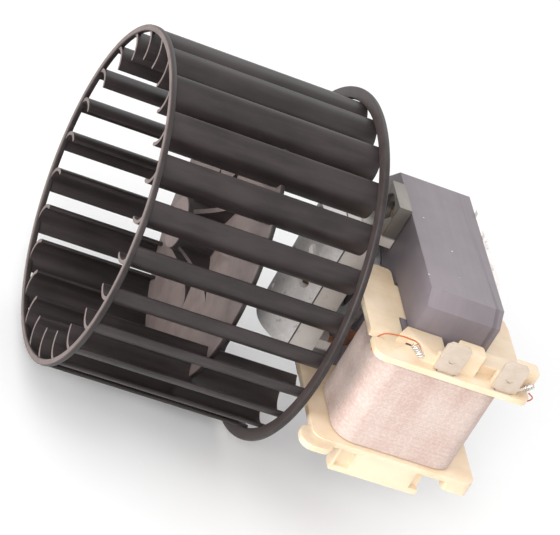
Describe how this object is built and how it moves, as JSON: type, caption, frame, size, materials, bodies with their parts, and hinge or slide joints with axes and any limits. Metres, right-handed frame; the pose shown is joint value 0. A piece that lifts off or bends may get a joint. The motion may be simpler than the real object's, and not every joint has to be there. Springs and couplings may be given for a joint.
{
  "type": "oven fan motor",
  "caption": "Shaded-pole motor with a wide barrel fan wheel on its shaft, an open coil with push-on tabs and two cast bearing brackets, for moving air in an oven housing.",
  "frame": {"origin": "on the shaft's axis, in the plane of the front bracket's two mounting feet", "axes": "+X along the shaft away from the fan wheel, -Y to the coil, +Z to the terminals"},
  "size_m": [0.103, 0.0972, 0.0888],
  "materials": {
    "wheel_plastic": "satin dark moulding",
    "cream_nylon": "cream moulding",
    "cast_zinc": "as cast, tumbled",
    "core_steel": "oiled laminations",
    "bright_steel": "ground",
    "yellow_steel": "yellow zinc plate",
    "cast_aluminium": "as cast",
    "copper": "bare copper",
    "winding_wire": "varnished fine wire",
    "enamelled_wire": "enamel",
    "tinned_brass": "matte tin",
    "sintered_bronze": "sintered, oiled",
    "felt": "oiled felt",
    "washer_nylon": "plain"
  },
  "bodies": {
    "motor": {"stator_core": "core_steel", "core_bar": "core_steel", "shading_ring_1": "copper", "shading_ring_2": "copper", "shading_ring_3": "copper", "shading_ring_4": "copper", "front_bracket": "cast_zinc", "rear_bracket": "cast_zinc", "front_bearing": "sintered_bronze", "rear_bearing": "sintered_bronze", "front_felt": "felt", "rear_felt": "felt", "front_retainer": "bright_steel", "rear_retainer": "bright_steel", "bracket_screw_1": "yellow_steel", "bracket_screw_2": "yellow_steel", "bobbin": "cream_nylon", "winding": "winding_wire", "terminal_1": "tinned_brass", "terminal_2": "tinned_brass", "wire_wrap_1": "tinned_brass", "wire_wrap_2": "tinned_brass", "start_lead": "enamelled_wire", "finish_lead": "enamelled_wire"},
    "rotor": {"shaft": "bright_steel", "impeller": "wheel_plastic", "rotor_stack": "core_steel", "rotor_cage": "cast_aluminium", "front_sleeve": "bright_steel", "rear_sleeve": "bright_steel", "front_thrust_washer": "washer_nylon", "rear_thrust_washer": "washer_nylon"}
  },
  "joints": [
    {"name": "rotor_spin", "type": "hinge", "parent": "motor", "child": "rotor", "pos_m": [0, 0, 0], "axis": [1, 0, 0], "continuous": true}
  ]
}
